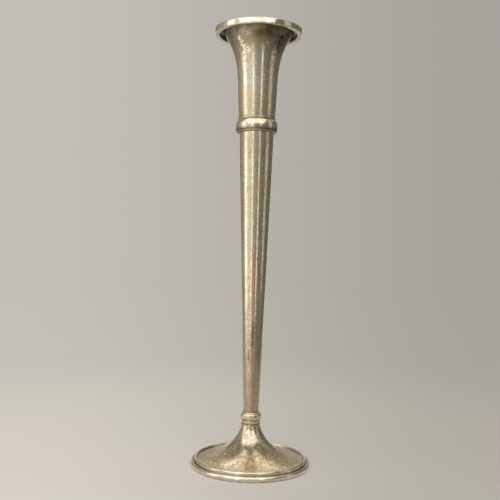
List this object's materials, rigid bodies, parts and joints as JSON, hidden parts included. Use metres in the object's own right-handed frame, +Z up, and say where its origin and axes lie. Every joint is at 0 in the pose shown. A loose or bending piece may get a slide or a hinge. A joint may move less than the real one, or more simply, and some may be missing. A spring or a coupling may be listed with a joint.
{
  "type": "trumpet vase",
  "caption": "Tall slender metal flower vase: trumpet mouth with an applied rim band, beaded collar, tapered tube stem, small knop and a weighted, domed foot with a stepped edge.",
  "frame": {"origin": "centre of the foot's underside, on the surface the vase stands on", "axes": "+Z up along the vase's axis, towards the mouth"},
  "size_m": [0.0836, 0.0836, 0.305],
  "materials": {
    "silver_body": "polished silver plate, aged warm, with tarnish in the hollows",
    "silver_foot": "polished silver plate, worn and pitted",
    "plug_brass": "turned brass",
    "tie_steel": "plain steel",
    "cast_filling": "cast cement, rough",
    "plate_brass": "sheet brass",
    "felt": "dark green baize"
  },
  "bodies": {
    "root": {"rim_band": "silver_body", "mouth_trumpet": "silver_body", "collar_bead": "silver_body", "stem_tube": "silver_body", "knop_ring": "silver_body", "foot_shell": "silver_foot", "foot_moulding": "silver_foot", "stem_plug": "plug_brass", "tie_stud": "tie_steel", "tie_washer": "tie_steel", "tie_nut": "tie_steel", "foot_filling": "cast_filling", "base_plate": "plate_brass", "base_felt": "felt"}
  },
  "joints": []
}
